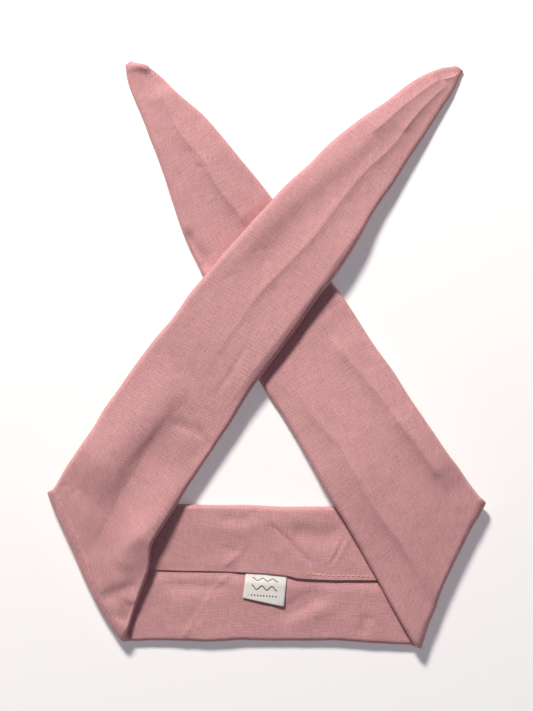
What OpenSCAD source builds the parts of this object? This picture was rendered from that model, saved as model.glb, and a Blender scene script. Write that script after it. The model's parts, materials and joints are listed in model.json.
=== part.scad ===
// Bendable headband: a flat cotton tube with pointed ends and a coated wire inside,
// laid flat as a loop. Both arms are folded forward over the middle and cross.

/* [Cloth tube] */
// Thickness of the flat tube: two layers of cloth and the wire between them
tube_t = 5; // [4:0.5:6]
// Thickness of one layer of cloth
cloth_t = 0.5; // [0.3:0.1:0.7]
// Space between layers of tube that lie on each other
layer_gap = 0.6; // [0.5:0.1:1]
// Thickness of the flat tube at its two tips
tip_t = 2.6; // [2.5:0.1:3]
// Length of tube that bends at the root of an ear
bend_l = 10; // [9:1:12]

/* [Layout] */
// Distance between the middles of the two folds
middle_l = 204; // [202:1:206]
// Direction of the left fold's line, in degrees from +X
left_fold_deg = 117; // [116:0.5:118]
// Direction of the right fold's line, in degrees from +X
right_fold_deg = 66; // [65:0.5:67]
// Length of the left arm, from the fold to the tip
left_arm_l = 347; // [344:1:350]
// Direction of the left arm, in degrees from +X
left_arm_deg = 53; // [52.5:0.1:53.5]
// Length of the right arm, from the fold to the tip
right_arm_l = 337; // [334:1:340]
// Direction of the right arm, in degrees from +X
right_arm_deg = 122.3; // [122:0.1:122.8]

/* [Wire] */
// Diameter of the steel wire
core_d = 1.2; // [0.9:0.1:1.3]
// Diameter over the wire's plastic coat
coat_d = 2; // [1.8:0.1:2.1]
// Diameter of the closed loop at each end of the wire
eye_d = 7; // [6:0.5:8]

/* [Thread and label] */
// Diameter of the sewing thread
thread_d = 0.4; // [0.3:0.05:0.5]
// Distance from one closing stitch to the next
stitch_pitch = 2.7; // [2.4:0.1:3]
// Number of closing stitches
stitch_count = 19; // [12:1:19]
// Width of the folded label
label_w = 23; // [20:1:24]
// Length of the label that shows below the seam
label_l = 16; // [14:1:17]

/* [Hidden] */

CLOTH = "#C78F90";
COAT = "#E9E6DF";
STEEL = "#9A9CA0";
THREAD = "#E4CFA0";
LABEL = "#EFEDE8";
MARK = "#3A3A3C";

// Points on a half round of the tube's section, and round a wire
half_round = 8;
wire_sides = 8;
// Steps of a fold's half turn
fold_steps = 9;

// Middles of the folds, at the outer edge of the wrap
left_fold = [-100.6, -118];
right_fold = left_fold + middle_l * [cos(-1.3), sin(-1.3)];
// A fold turns round an axis half way between the layers
fold_z = tube_t + layer_gap / 2;
left_inward = [cos(left_fold_deg - 90), sin(left_fold_deg - 90)];
right_inward = [cos(right_fold_deg + 90), sin(right_fold_deg + 90)];
// Ends of the fold axes, measured along the fold from its middle: upper, lower
left_fold_ends = [47, -45];
right_fold_ends = [45, -44.6];

// Edges of the arms: distance along the arm, distance out from its axis.
// An arm tapers little up to the crossing and then runs to a point.
left_outer = [
  [27, 41], [45, 42], [70, 43.5], [100, 45], [130, 44.8], [165, 44.4], [200, 42],
  [230, 39], [250, 36], [270, 33], [290, 28], [310, 21.5], [330, 15], [340, 9.5], [346, 4]
];
left_inner = [
  [-16, 41.5], [6, 34], [20, 29.5], [36, 21.5], [60, 20], [80, 18.5], [107, 16], [138, 13.5],
  [212, 12.5], [230, 12], [250, 10], [270, 9], [290, 7], [310, 6], [330, 4.8], [346, 2]
];
right_outer = [
  [30, 36], [50, 34.8], [70, 33.8], [100, 33], [150, 31.8], [190, 30.5], [230, 27.5],
  [250, 25.8], [270, 23], [290, 20.5], [300, 17.5], [310, 14], [320, 11.5], [330, 8], [336, 3]
];
right_inner = [
  [-20, 38.5], [69, 34.2], [100, 33.2], [150, 32.3], [190, 30], [230, 26.3], [240, 25],
  [250, 22.8], [270, 17.5], [290, 13.3], [310, 9.2], [320, 7.5], [330, 5], [336, 2.5]
];
// Each rung crosses an arm from a place on its outer edge to one on its inner edge
left_arm_rungs = [
  [45, 20], [62, 45], [80, 70], [100, 95], [122, 120], [145, 145], [170, 170],
  [200, 200], [232, 232]
];
right_arm_rungs = [
  [45, 5], [58, 30], [72, 52], [88, 76], [108, 101], [128, 127], [146, 146],
  [175, 175], [205, 205], [237, 237]
];
left_ear_rungs = [255, 270, 285, 300, 315, 328, 337, 343, 346];
right_ear_rungs = [262, 276, 290, 302, 314, 324, 331, 336];
left_bend_s = 232;
right_bend_s = 237;
// The right arm comes down from the middle to the table, to pass under the left arm
right_drop = [[72, tube_t + layer_gap], [146, 0]];
// The left ear comes down from the crossing to the table
left_drop = [[left_bend_s + bend_l, tube_t + layer_gap], [left_arm_l, 0]];
left_thin = [[265, tube_t], [left_arm_l, tip_t]];
right_thin = [[262, tube_t], [right_arm_l, tip_t]];

// Length of wire and seam left free at a tip
tip_free = 22;
label_deg = -6;
label_top = [0.4, -121.5];
label_t = 0.3;
first_stitch = [24, -122.1];
// Fall of the stitch row over its length
stitch_slope = -0.02;

// A place on an arm's own axes, as a point in plan
function on_arm(start, deg, along, out, side) =
  start + along * [cos(deg), sin(deg)] + out * side * [-sin(deg), cos(deg)];
function left_at(along, out) = on_arm(left_fold, left_arm_deg, along, out, 1);
function right_at(along, out) = on_arm(right_fold, right_arm_deg, along, out, -1);

// A station of the tube: its upper or outer edge, its lower or inner edge, its normal, its thickness
function edge_a(st) = st[0];
function edge_b(st) = st[1];
function normal(st) = st[2];
function thickness(st) = st[3];
function centre(st) = (st[0] + st[1]) / 2;
function across(st) = (st[1] - st[0]) / norm(st[1] - st[0]);
function lift(p, z) = [p[0], p[1], z];

function left_station(a, b) =
  let(t = lookup(b, left_thin))
  [
    lift(left_at(a, lookup(a, left_outer)), lookup(a, left_drop) + t / 2),
    lift(left_at(b, -lookup(b, left_inner)), lookup(b, left_drop) + t / 2),
    [0, 0, 1], t
  ];
function right_station(a, b) =
  let(t = lookup(b, right_thin))
  [
    lift(right_at(a, lookup(a, right_outer)), lookup(a, right_drop) + t / 2),
    lift(right_at(b, -lookup(b, right_inner)), lookup(b, right_drop) + t / 2),
    [0, 0, 1], t
  ];

// A station of a fold, turned by an angle from the middle's end round the fold's axis
function fold_station(mid, inward, ends, turn) =
  let(
    along = [inward[1], -inward[0]] * (inward[0] > 0 ? -1 : 1),
    foot = mid + inward * fold_z,
    radius = fold_z - tube_t / 2,
    out = -sin(turn) * radius,
    z = fold_z - cos(turn) * radius
  )
  [
    lift(foot + along * ends[0] + inward * out, z),
    lift(foot + along * ends[1] + inward * out, z),
    [sin(turn) * inward[0], sin(turn) * inward[1], cos(turn)], tube_t
  ];
function left_fold_station(turn) = fold_station(left_fold, left_inward, left_fold_ends, turn);
function right_fold_station(turn) = fold_station(right_fold, right_inward, right_fold_ends, turn);
function flipped(st) = [st[0], st[1], -st[2], st[3]];

fold_turns = [for (i = [0:fold_steps]) 180 * i / fold_steps];
middle_stations = [
  left_fold_station(0),
  [[-85, -79, tube_t / 2], [-58, -157.5, tube_t / 2], [0, 0, 1], tube_t],
  [[-50, -83, tube_t / 2], [-34, -157.5, tube_t / 2], [0, 0, 1], tube_t],
  [[-15, -83.5, tube_t / 2], [-8, -158, tube_t / 2], [0, 0, 1], tube_t],
  [[20, -84, tube_t / 2], [18, -158.5, tube_t / 2], [0, 0, 1], tube_t],
  [[55, -84, tube_t / 2], [42, -158.5, tube_t / 2], [0, 0, 1], tube_t],
  [[86, -82, tube_t / 2], [62, -159, tube_t / 2], [0, 0, 1], tube_t],
  right_fold_station(0)
];
left_fold_stations = [for (a = fold_turns) left_fold_station(a)];
right_fold_stations = [for (a = fold_turns) right_fold_station(a)];
left_arm_stations = concat(
  [flipped(left_fold_station(180))], [for (r = left_arm_rungs) left_station(r[0], r[1])]
);
right_arm_stations = concat(
  [flipped(right_fold_station(180))], [for (r = right_arm_rungs) right_station(r[0], r[1])]
);
left_bend_stations = [for (s = [left_bend_s, left_bend_s + bend_l]) left_station(s, s)];
right_bend_stations = [for (s = [right_bend_s, right_bend_s + bend_l]) right_station(s, s)];
left_ear_stations = concat(
  [left_bend_stations[1]], [for (s = left_ear_rungs) left_station(s, s)]
);
right_ear_stations = concat(
  [right_bend_stations[1]], [for (s = right_ear_rungs) right_station(s, s)]
);

// The tube's section at a station, smaller by inset all round
function section(st, inset = 0) =
  let(
    r = thickness(st) / 2, a = across(st), n = normal(st),
    near = edge_a(st) + a * r, far = edge_b(st) - a * r,
    step = 180 / (half_round - 1)
  )
  concat(
    [for (k = [0:half_round - 1]) near + (r - inset) * (cos(90 + k * step) * a + sin(90 + k * step) * n)],
    [for (k = [0:half_round - 1]) far + (r - inset) * (cos(k * step - 90) * a + sin(k * step - 90) * n)]
  );

// A round ring of radius r about a point on a path whose neighbours are before and after.
// The ring lies in the plane of the two given directions and stays round along the path.
function ring(c, before, after, a, n, r, sides = wire_sides) =
  let(t = (after - before) / norm(after - before), stretch = 1 / max(0.5, norm(cross(t, a))))
  [for (k = [0:sides - 1]) c + r * (cos(k * 360 / sides) * stretch * a + sin(k * 360 / sides) * n)];

function path_rings(points, frames, r, sides = wire_sides) =
  [for (i = [0:len(points) - 1]) ring(
    points[i], points[max(i - 1, 0)], points[min(i + 1, len(points) - 1)],
    frames[i][0], frames[i][1], r, sides)];
// Rings along the middle of the tube, or just inside one of its faces where side is 1 or -1
function station_rings(stations, r, side = 0, sides = wire_sides) =
  path_rings(
    [for (st = stations) centre(st) + side * (thickness(st) / 2 - cloth_t - thread_d) * normal(st)],
    [for (st = stations) [across(st), normal(st)]], r, sides);

// Faces between rings of n points, and across an end ring
function side_faces(rings, n, first = 0, turned = false) = [
  for (i = [0:rings - 2]) for (k = [0:n - 1])
    let(a = first + i * n + k, b = first + i * n + (k + 1) % n, c = a + n, d = b + n)
    for (f = turned ? [[a, b, c], [b, d, c]] : [[a, c, b], [b, c, d]]) f
];
function flat(list) = [for (a = list) for (b = a) b];

// A solid through closed rings
module loft(rings) {
  n = len(rings[0]);
  m = len(rings);
  polyhedron(flat(rings), concat(
    side_faces(m, n),
    [[for (k = [0:n - 1]) k]],
    [[for (k = [n - 1:-1:0]) (m - 1) * n + k]]
  ));
}

// A tube between outer and inner rings, open at both ends
module open_tube(outer, inner) {
  n = len(outer[0]);
  m = len(outer);
  o = m * n;
  polyhedron(flat(concat(outer, inner)), concat(
    side_faces(m, n),
    side_faces(m, n, o, true),
    [for (k = [0:n - 1]) let(b = (k + 1) % n) for (f = [[k, b, o + k], [b, o + b, o + k]]) f],
    [for (k = [0:n - 1])
      let(e = (m - 1) * n, b = (k + 1) % n)
      for (f = [[e + k, o + e + k, e + b], [e + b, o + e + k, o + e + b]]) f]
  ));
}

// A tube open at its first ring and closed at its tip, where the cavity has fewer rings
module tip_tube(outer, inner) {
  n = len(outer[0]);
  m = len(outer);
  o = m * n;
  polyhedron(flat(concat(outer, inner)), concat(
    side_faces(m, n),
    side_faces(len(inner), n, o, true),
    [for (k = [0:n - 1]) let(b = (k + 1) % n) for (f = [[k, b, o + k], [b, o + b, o + k]]) f],
    [[for (k = [n - 1:-1:0]) (m - 1) * n + k]],
    [[for (k = [0:n - 1]) o + (len(inner) - 1) * n + k]]
  ));
}

module sleeve(stations) {
  color(CLOTH)
    open_tube([for (st = stations) section(st)], [for (st = stations) section(st, cloth_t)]);
}
module ear_sleeve(stations) {
  color(CLOTH) tip_tube(
    [for (st = stations) section(st)],
    [for (i = [0:len(stations) - 3]) section(stations[i], cloth_t)]
  );
}

// The wire's path in an ear: straight along the middle, then bent round so that no end pokes out
function eye_path(stations) =
  let(
    root = centre(stations[0]), tip = centre(stations[len(stations) - 1]),
    dir = (tip - root) / norm(tip - root),
    side = [-dir[1], dir[0], 0] / norm([dir[0], dir[1]]),
    neck = root + dir * (norm(tip - root) - tip_free - eye_d), r = eye_d / 2
  )
  concat([root, root + dir * 20], [
    for (a = [0:30:270]) neck + r * (sin(a) * dir + (1 - cos(a)) * side)
  ]);
function flat_frames(points) = [
  for (i = [0:len(points) - 1])
    let(
      d = points[min(i + 1, len(points) - 1)] - points[max(i - 1, 0)],
      side = [-d[1], d[0], 0] / norm([d[0], d[1]])
    )
    [side, cross(d, side) / norm(cross(d, side))]
];
// The first ring of an ear's wire lies in the face where the bend's wire ends
function eye_frames(stations, points) =
  let(frames = flat_frames(points), a = across(stations[0]), way = a * frames[0][0] > 0 ? 1 : -1)
  concat([[way * a, normal(stations[0])]], [for (i = [1:len(frames) - 1]) frames[i]]);
// Radius of the ring of points round the coat's bore, so that its flats clear the wire
bore_r = (core_d / 2 + 0.03) / cos(180 / wire_sides);

module wire(stations) {
  color(STEEL) loft(station_rings(stations, core_d / 2));
}
module coat(stations) {
  color(COAT) open_tube(station_rings(stations, coat_d / 2), station_rings(stations, bore_r));
}
module eye_wire(stations) {
  p = eye_path(stations);
  color(STEEL) loft(path_rings(p, eye_frames(stations, p), core_d / 2));
}
module eye_coat(stations) {
  p = eye_path(stations);
  f = eye_frames(stations, p);
  color(COAT) open_tube(path_rings(p, f, coat_d / 2), path_rings(p, f, bore_r));
}

// The thread round a tip runs over three stations of an ear, and the long seam's thread ends at the first
function tip_thread_from(stations) = len(stations) - 6;
function short_of_tip(stations) = [for (i = [0:tip_thread_from(stations)]) stations[i]];

// The hidden thread of the long seam, just inside the face that carries the seam
module seam_thread(stations, side) {
  color(THREAD) loft(station_rings(stations, thread_d / 2, side, 6));
}

// The hidden thread round the point of a tip
module tip_thread(stations) {
  first = tip_thread_from(stations);
  inset = cloth_t + thread_d + tip_t / 2;
  near = [for (i = [first:first + 2]) edge_a(stations[i]) + across(stations[i]) * inset];
  far = [for (i = [first + 2:-1:first]) edge_b(stations[i]) - across(stations[i]) * inset];
  p = concat(near, [(near[2] + far[0]) / 2 + 0.5 * (near[2] - near[1])], far);
  color(THREAD) loft(path_rings(p, flat_frames(p), thread_d / 2, 6));
}

// One stitch: thread on the face of the cloth, and its two ends going down through it
module stitch(length) {
  top = tube_t + thread_d / 2;
  leg = cloth_t + thread_d;
  translate([-length / 2, 0, top]) rotate([0, 90, 0]) cylinder(h = length, d = thread_d, $fn = 24);
  for (x = [-0.4, 0.4])
    translate([x * length, 0, top - leg]) cylinder(h = leg, d = thread_d * 0.8, $fn = 24);
}
module closing_stitches() {
  color(THREAD) for (i = [0:stitch_count - 1])
    translate(first_stitch + i * stitch_pitch * [1, stitch_slope]) stitch(stitch_pitch * 0.78);
}
module backtack_stitches() {
  color(THREAD) for (i = [0:3])
    translate(first_stitch + [1.5 * i - 0.6, 1 - 0.16 * i]) rotate([0, 0, 14]) stitch(1.3);
}

// The label: a ribbon folded in two, its open end under the seam
module on_label() {
  translate([label_top[0], label_top[1], tube_t + 0.3]) rotate([0, 0, label_deg]) children();
}
module label_ribbon() {
  gap = 0.2;
  r = label_t + gap / 2;
  color(LABEL) on_label() {
    for (z = [0, label_t + gap])
      translate([-label_w / 2, -label_l + r, z]) cube([label_w, label_l - r, label_t]);
    translate([-label_w / 2, -label_l + r, r]) rotate([0, 90, 0]) difference() {
      cylinder(h = label_w, r = r, $fn = 48);
      translate([0, 0, -1]) cylinder(h = label_w + 2, r = gap / 2, $fn = 48);
      translate([-2, 0, -1]) cube([4, 4, label_w + 2]);
    }
  }
}
// A plain woven mark on the label: a long bar over two short ones
module label_mark() {
  color(MARK) on_label() for (bar = [[-7, -7.5, 14, 1.6], [-7, -10.5, 6, 1.2], [1, -10.5, 6, 1.2]])
    translate([bar[0], bar[1], 2 * label_t + 0.2]) cube([bar[2], bar[3], 0.1]);
}
// The label's ends inside the tube, above the seam, and the row of stitches that holds them
module in_seam() {
  translate([label_top[0], label_top[1], tube_t - cloth_t - 0.7]) rotate([0, 0, label_deg]) children();
}
module label_tail() {
  color(LABEL) in_seam() translate([-label_w / 2, 0.5, 0]) cube([label_w, 6, 2 * label_t]);
}
module label_stitches() {
  color(THREAD) in_seam() for (i = [-3:3])
    translate([i * stitch_pitch, 4.2, tube_t]) mirror([0, 0, 1]) stitch(stitch_pitch * 0.78);
}

sleeve(middle_stations);  // sleeve_middle
sleeve(left_fold_stations);  // sleeve_fold_left
sleeve(right_fold_stations);  // sleeve_fold_right
sleeve(left_arm_stations);  // sleeve_left_arm
sleeve(left_bend_stations);  // sleeve_left_bend
ear_sleeve(left_ear_stations);  // sleeve_left_ear
sleeve(right_arm_stations);  // sleeve_right_arm
sleeve(right_bend_stations);  // sleeve_right_bend
ear_sleeve(right_ear_stations);  // sleeve_right_ear
wire(middle_stations);  // wire_middle
wire(left_fold_stations);  // wire_fold_left
wire(right_fold_stations);  // wire_fold_right
wire(left_arm_stations);  // wire_left_arm
wire(left_bend_stations);  // wire_left_bend
eye_wire(left_ear_stations);  // wire_left_ear
wire(right_arm_stations);  // wire_right_arm
wire(right_bend_stations);  // wire_right_bend
eye_wire(right_ear_stations);  // wire_right_ear
coat(middle_stations);  // coat_middle
coat(left_fold_stations);  // coat_fold_left
coat(right_fold_stations);  // coat_fold_right
coat(left_arm_stations);  // coat_left_arm
coat(left_bend_stations);  // coat_left_bend
eye_coat(left_ear_stations);  // coat_left_ear
coat(right_arm_stations);  // coat_right_arm
coat(right_bend_stations);  // coat_right_bend
eye_coat(right_ear_stations);  // coat_right_ear
seam_thread(middle_stations, 1);  // seam_thread_middle
seam_thread(left_arm_stations, -1);  // seam_thread_left_arm
seam_thread(short_of_tip(left_ear_stations), -1);  // seam_thread_left_ear
seam_thread(right_arm_stations, -1);  // seam_thread_right_arm
seam_thread(short_of_tip(right_ear_stations), -1);  // seam_thread_right_ear
tip_thread(left_ear_stations);  // tip_thread_left
tip_thread(right_ear_stations);  // tip_thread_right
closing_stitches();
backtack_stitches();
label_ribbon();
label_mark();
label_tail();
label_stitches();
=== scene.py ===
"""Looks of a bendable cloth headband, laid flat with its two arms folded over and crossed.

The band is one sewn cloth tube. Its surface is made as one grid of points. A row of the grid is a
section of the tube, and the rows run from the tip of the left ear to the tip of the right ear. The
columns of a row run once round the tube, from the cloth's hidden edge under the seam to the edge
that is tucked under the seam's fold. Creases are pressed into the grid, and then it is cut into
pieces where the band bends. Lengths are in millimetres until a mesh is made.
"""

import json
import math

import bpy
import numpy as np
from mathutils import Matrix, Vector

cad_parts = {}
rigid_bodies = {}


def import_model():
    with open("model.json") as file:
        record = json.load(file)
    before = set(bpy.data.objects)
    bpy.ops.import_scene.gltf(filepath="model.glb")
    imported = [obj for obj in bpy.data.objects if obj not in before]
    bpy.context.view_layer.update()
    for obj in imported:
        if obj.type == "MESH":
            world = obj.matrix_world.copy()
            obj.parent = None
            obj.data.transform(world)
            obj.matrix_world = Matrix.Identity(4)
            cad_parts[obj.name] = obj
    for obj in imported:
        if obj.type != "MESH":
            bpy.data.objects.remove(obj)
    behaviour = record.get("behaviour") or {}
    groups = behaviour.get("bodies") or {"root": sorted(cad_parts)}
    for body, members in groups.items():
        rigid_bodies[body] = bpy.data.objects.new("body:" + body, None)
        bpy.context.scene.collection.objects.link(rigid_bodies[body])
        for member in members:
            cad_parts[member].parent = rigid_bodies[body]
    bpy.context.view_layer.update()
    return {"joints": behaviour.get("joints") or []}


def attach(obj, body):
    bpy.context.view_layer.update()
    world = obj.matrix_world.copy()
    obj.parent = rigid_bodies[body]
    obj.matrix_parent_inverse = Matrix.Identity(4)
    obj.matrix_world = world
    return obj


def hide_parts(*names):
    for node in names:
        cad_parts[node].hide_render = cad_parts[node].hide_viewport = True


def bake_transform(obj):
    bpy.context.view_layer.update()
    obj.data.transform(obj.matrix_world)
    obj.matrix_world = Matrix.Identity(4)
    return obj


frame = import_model()

MM = 0.001
UP = np.array([0.0, 0.0, 1.0])
DOWN = -UP
rng = np.random.default_rng(7)
joints = {j["name"]: j for j in frame["joints"]}

# The tube and its cloth
TUBE_T = 5.0
CLOTH_T = 0.32
EDGE_ROUND = 2.5
EDGE_POWER = 1.05
ROW_STEP = 1.3
BEND_HALF = 10.0

# The seam, measured from the middle of the tube's thickness
SEAM_TUCK = 6.0
SEAM_FOLD_T = 0.8
LOWER_AT_SEAM = 1.2
LOWER_ON_ARM = 1.7
LOWER_RISE = 7.0
UPPER_DIP = 5.0


# -------------------- smooth curves and fields

def curve(points, x):
    """Values at x of a smooth curve through (x, value) points, which doesn't overshoot them."""
    px, py = np.array(points, float).T
    step = np.diff(px)
    rise = np.diff(py) / step
    slope = np.zeros(len(px))
    slope[0], slope[-1] = rise[0], rise[-1]
    same = rise[:-1] * rise[1:] > 0
    before = 2 * step[1:] + step[:-1]
    after = step[1:] + 2 * step[:-1]
    safe = np.where(rise == 0, 1.0, rise)
    mean = np.where(same, before / safe[:-1] + after / safe[1:], 1.0)
    slope[1:-1] = np.where(same, (before + after) / mean, 0.0)
    x = np.clip(x, px[0], px[-1])
    i = np.clip(np.searchsorted(px, x) - 1, 0, len(px) - 2)
    t = (x - px[i]) / step[i]
    return (py[i] * (1 + 2 * t) * (1 - t) ** 2 + slope[i] * step[i] * t * (1 - t) ** 2
            + py[i + 1] * t * t * (3 - 2 * t) + slope[i + 1] * step[i] * t * t * (t - 1))


def smooth_step(x, low, high):
    """0 below low, 1 above high, and a smooth rise in between."""
    t = np.clip((x - low) / (high - low), 0, 1)
    return t * t * (3 - 2 * t)


def waves(xy, count, shortest, longest, height):
    """A gentle random surface: the sum of plane waves, the long ones higher than the short ones."""
    total = np.zeros(len(xy))
    for _ in range(count):
        length = rng.uniform(shortest, longest)
        angle, phase = rng.uniform(0, 2 * math.pi, 2)
        along = xy[:, 0] * math.cos(angle) + xy[:, 1] * math.sin(angle)
        total += length * np.sin(2 * math.pi * along / length + phase)
    return total * height / (longest * math.sqrt(count / 2))


CREASE_STEP = 2.5
CREASE_REACH = 3.5


def crease(xy, points, height, left, right, sharp=False, taper=0.25):
    """Height of one crease at each place in xy: a ridge, or a valley where height is below 0.

    It runs through points. It fades over left mm to the left of that line and right mm to its
    right, and over the share taper of its length at each end. A sharp one has a kink on its line.
    It is left out beyond CREASE_REACH times its wider side."""
    corners = np.array(points, float)
    reach = np.concatenate([[0], np.cumsum(np.linalg.norm(np.diff(corners, axis=0), axis=1))])
    steps = np.linspace(0, reach[-1], max(2, int(reach[-1] / CREASE_STEP) + 1))
    line = np.stack([curve(np.stack([reach, corners[:, k]], 1), steps) for k in (0, 1)], 1)
    margin = CREASE_REACH * max(left, right)
    inside = np.all((xy > line.min(0) - margin) & (xy < line.max(0) + margin), axis=1)
    near = xy[inside]
    best = np.full(len(near), 1e9)
    side = np.zeros(len(near))
    share = np.zeros(len(near))
    for k in range(len(line) - 1):
        a, d = line[k], line[k + 1] - line[k]
        t = np.clip((near - a) @ d / (d @ d), 0, 1)
        off = near - a - t[:, None] * d
        dist = np.linalg.norm(off, axis=1)
        closer = dist < best
        best = np.where(closer, dist, best)
        side = np.where(closer, d[0] * off[:, 1] - d[1] * off[:, 0], side)
        share = np.where(closer, (k + t) / (len(line) - 1), share)
    width = np.where(side > 0, left, right)
    fall = np.exp(-best / width) if sharp else np.exp(-(best / width) ** 2)
    ends = smooth_step(share, 0, taper) * smooth_step(1 - share, 0, taper)
    result = np.zeros(len(xy))
    result[inside] = height * fall * ends
    return result


# -------------------- the band's plan

def joint_place(name):
    """A point on a joint's axis."""
    return np.array(joints[name]["pos_m"]) / MM


def fold_plan(arm):
    """A fold's axis: a point on it, the direction into the band, and the direction to its upper end."""
    x, y, _ = joints[arm["fold"]]["axis"]
    upper = np.array([x, y, 0.0]) * (1 if y > 0 else -1)
    return joint_place(arm["fold"]), np.array([-y, x, 0.0]), upper


def arm_plan(arm):
    """An arm's axis: the point on the fold's outer edge where it starts, and its direction."""
    place, inward, _ = fold_plan(arm)
    start = place - inward * place[2]
    x, y, _ = joints[arm["bend"]]["axis"]
    return start * [1, 1, 0], np.array([-y, x, 0.0])


LEFT = {
    "fold": "left_fold", "bend": "left_ear_bend", "side": 1, "length": 347,
    # where a row ends, by the angle round the fold: its upper end, its lower end
    "ends": ([(0, 42.5), (90, 46.2), (180, 47.1)], [(0, -48.8), (90, -45.8), (180, -42.7)]),
    # how far the fold's edge bows out, along the fold from its lower end to its upper end
    "bow": [(-46, 0), (-40, 1.3), (-34, 2.0), (-18, 3.1), (-4, 2.9), (11, 1.9), (25, 1.3),
            (40, 0.5), (46, -0.3)],
    # the outer and inner edges: distance along the arm, distance out from its axis
    "outer": [(25, 40), (45, 42), (70, 43.5), (100, 45), (130, 44.8), (165, 44.4), (200, 42),
              (230, 39), (250, 36), (270, 33), (290, 28), (310, 21.5), (330, 15), (340, 9.5), (347, 3)],
    "inner": [(-16, 41.5), (6, 34), (20, 29.5), (36, 21.5), (60, 20), (80, 18.5), (107, 16.6),
              (138, 14.4), (180, 14), (212, 13.4), (230, 12.5), (250, 10.2), (270, 9), (290, 7), (310, 6),
              (330, 4.8), (347, 1.8)],
    # rungs: mean distance along the arm, how far the outer end is ahead of it
    "skew": [(6.6, 20.2), (32, 12.5), (53, 8.5), (75, 5), (98, 2.5), (121, 1), (145, 0), (347, 0)],
    "floor": [(0, 5.6), (240, 5.6), (252, 5.1), (265, 4.4), (300, 2.55), (332, 0.85), (347, 0.1)],
    "thin": [(0, 5), (262, 5), (275, 4.7), (310, 3.65), (347, 2.6)],
}
RIGHT = {
    "fold": "right_fold", "bend": "right_ear_bend", "side": -1, "length": 337,
    "ends": ([(0, 40.9), (90, 43.9), (180, 46.7)], [(0, -44.8), (90, -44.2), (180, -42.6)]),
    "bow": [(-43.5, 0.7), (-37.6, 0), (-30, -0.9), (-21, -1.0), (-15, -1.7), (-6, -2.2), (4, -2.0),
            (15, -1.5), (28.8, -0.9), (36, 0.1), (43.5, 0.6)],
    "outer": [(29, 36), (50, 34.8), (70, 33.8), (100, 33), (150, 31.8), (190, 30.5), (230, 27.5),
              (250, 25.8), (270, 23), (290, 20.5), (300, 17.5), (310, 14), (320, 11.5), (330, 8),
              (337, 2.5)],
    "inner": [(-20, 38.5), (69, 34.2), (100, 33.2), (150, 32.3), (190, 30), (230, 26.3), (240, 25),
              (250, 22.8), (270, 17.5), (290, 13.3), (310, 9.2), (320, 7.5), (330, 5), (337, 2)],
    "skew": [(5.4, 24.9), (25, 20), (44, 14), (62, 10), (82, 6), (104, 3.5), (127, 1), (146, 0), (337, 0)],
    "floor": [(0, 5.6), (72, 5.6), (146, 0.1), (337, 0.1)],
    "thin": [(0, 5), (258, 5), (272, 4.65), (305, 3.6), (337, 2.6)],
}

# The middle's upper and lower edges between the folds, and the line of its seam
MIDDLE_TOP = [(-85, -79), (-50, -82.7), (-15, -83.6), (20, -84.4), (55, -84.2), (86, -82)]
MIDDLE_BOTTOM = [(-58, -158.6), (-34, -159.7), (-8, -158.8), (18, -159.1), (42, -159.4), (64, -160.6)]
SEAM_LINE = [(-100, -118), (-64, -119), (-11, -120.4), (12, -122.3), (17, -123.6), (24, -124.1),
             (40, -124.7), (62, -124.7), (100, -124)]
# How far the seam's fold stands off the tube's middle plane: the label and the closing lift it
SEAM_LIFT = [(-100, 1.35), (-20, 1.35), (-12, 1.95), (14, 2.0), (22, 2.05), (62, 2.05), (80, 1.4)]


def arm_rows(arm, along):
    """Edges, thickness and seam normal of the tube at places along an arm."""
    start, ahead = arm_plan(arm)
    out = arm["side"] * np.array([-ahead[1], ahead[0], 0.0])
    skew = curve(arm["skew"], along)
    edges = []
    for way, outline in ((1, arm["outer"]), (-1, arm["inner"])):
        s = along + way * skew
        height = curve(arm["floor"], s) + curve(arm["thin"], s) / 2
        edges.append(start + s[:, None] * ahead + (way * curve(outline, s))[:, None] * out
                     + height[:, None] * UP)
    thick = curve(arm["thin"], along)
    return edges[0], edges[1], thick, np.tile(DOWN, (len(along), 1))


def fold_rows(arm, turns):
    """The same at angles round a fold, from 0 at the middle's end to 180 at the arm's end."""
    foot, inward, upper = fold_plan(arm)
    turn = np.radians(turns)[:, None]
    radius = foot[2] - TUBE_T / 2
    centre = foot * [1, 1, 0] - inward * np.sin(turn) * radius + UP * (foot[2] - np.cos(turn) * radius)
    normal = np.sin(turn) * inward + np.cos(turn) * UP
    edges = [centre + upper * curve(end, turns)[:, None] for end in arm["ends"]]
    return edges[0], edges[1], np.full(len(turns), TUBE_T), normal


def middle_rows(count):
    """The same on rows between the left fold and the right fold."""
    outlines = []
    for k, inner_points in ((0, MIDDLE_TOP), (1, MIDDLE_BOTTOM)):
        ends = []
        for arm in (LEFT, RIGHT):
            foot, _, upper = fold_plan(arm)
            ends.append((foot + upper * arm["ends"][k][0][1])[:2])
        outlines.append(np.array([ends[0], *inner_points, ends[1]]))
    at = (outlines[0][:, 0] + outlines[1][:, 0]) / 2
    x = np.linspace(at[0], at[-1], count)
    edges = [np.stack([curve(np.stack([at, o[:, 0]], 1), x), curve(np.stack([at, o[:, 1]], 1), x),
                       np.full(count, TUBE_T / 2)], 1) for o in outlines]
    return edges[0], edges[1], np.full(count, TUBE_T), np.tile(UP, (count, 1))


def spaced(low, high):
    """Places from low to high, about ROW_STEP apart."""
    return np.linspace(low, high, max(2, round(abs(high - low) / ROW_STEP) + 1))


def bend_at(arm):
    """Distance along an arm of the axis that its ear bends about."""
    start, ahead = arm_plan(arm)
    return float((joint_place(arm["bend"]) - start) @ ahead)


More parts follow.
